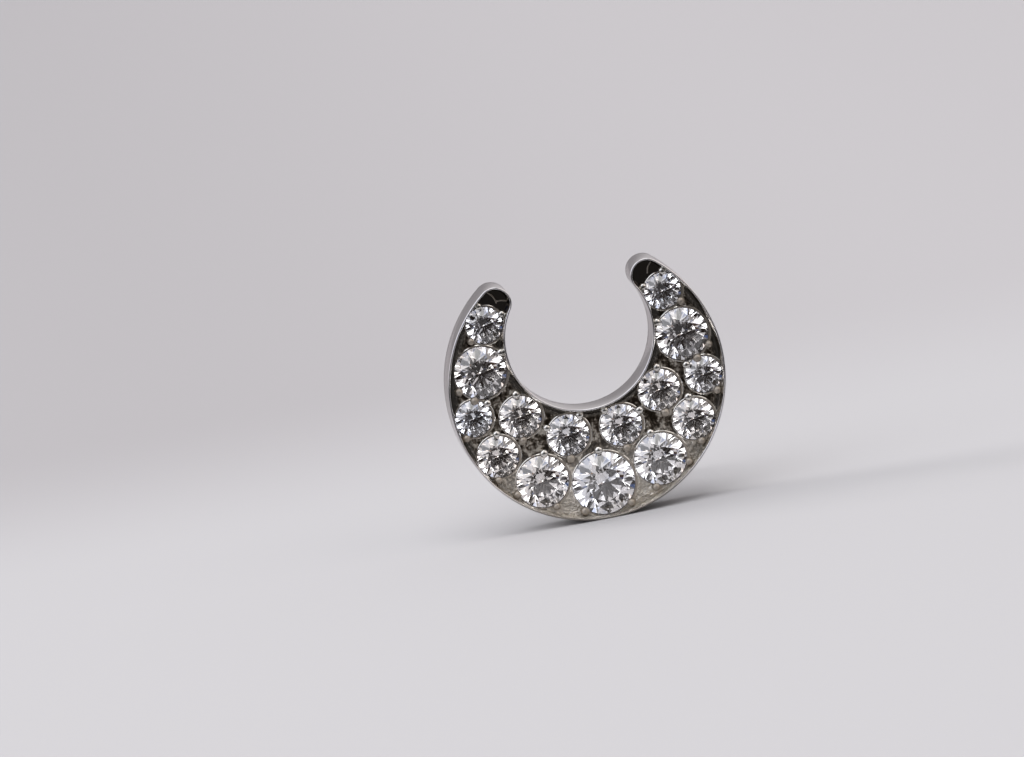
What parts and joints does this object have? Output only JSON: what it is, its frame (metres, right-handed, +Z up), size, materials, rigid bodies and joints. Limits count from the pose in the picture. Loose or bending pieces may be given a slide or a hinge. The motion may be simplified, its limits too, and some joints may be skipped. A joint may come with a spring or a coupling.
{
  "type": "labret stud",
  "caption": "Crescent labret stud: a thin-rimmed crescent front pave-set with round brilliants, on a short straight post that ends in a flat back disc.",
  "frame": {"origin": "middle of the base of the bounding box, on the surface that the stud stands on", "axes": "+X to the right across the crescent, +Y from the crescent's set face back along the post to its disc, +Z up towards the crescent's opening"},
  "size_m": [0.008, 0.0056, 0.0072],
  "materials": {
    "titanium_setting": "polished titanium walls, bright-cut rim and claws, dark milled floor",
    "titanium_post": "polished titanium",
    "zirconia": "colourless cubic zirconia, cut and polished"
  },
  "bodies": {
    "root": {"crescent_setting": "titanium_setting", "labret_post": "titanium_post", "stone_tip_left": "zirconia", "stone_tip_right": "zirconia", "stone_horn_left": "zirconia", "stone_horn_right": "zirconia", "stone_edge_left": "zirconia", "stone_edge_right": "zirconia", "stone_side_left": "zirconia", "stone_side_right": "zirconia", "stone_bend_left": "zirconia", "stone_bend_right": "zirconia", "stone_belly_left": "zirconia", "stone_belly_right": "zirconia", "stone_inner_left": "zirconia", "stone_inner_right": "zirconia", "stone_middle": "zirconia"}
  },
  "joints": []
}
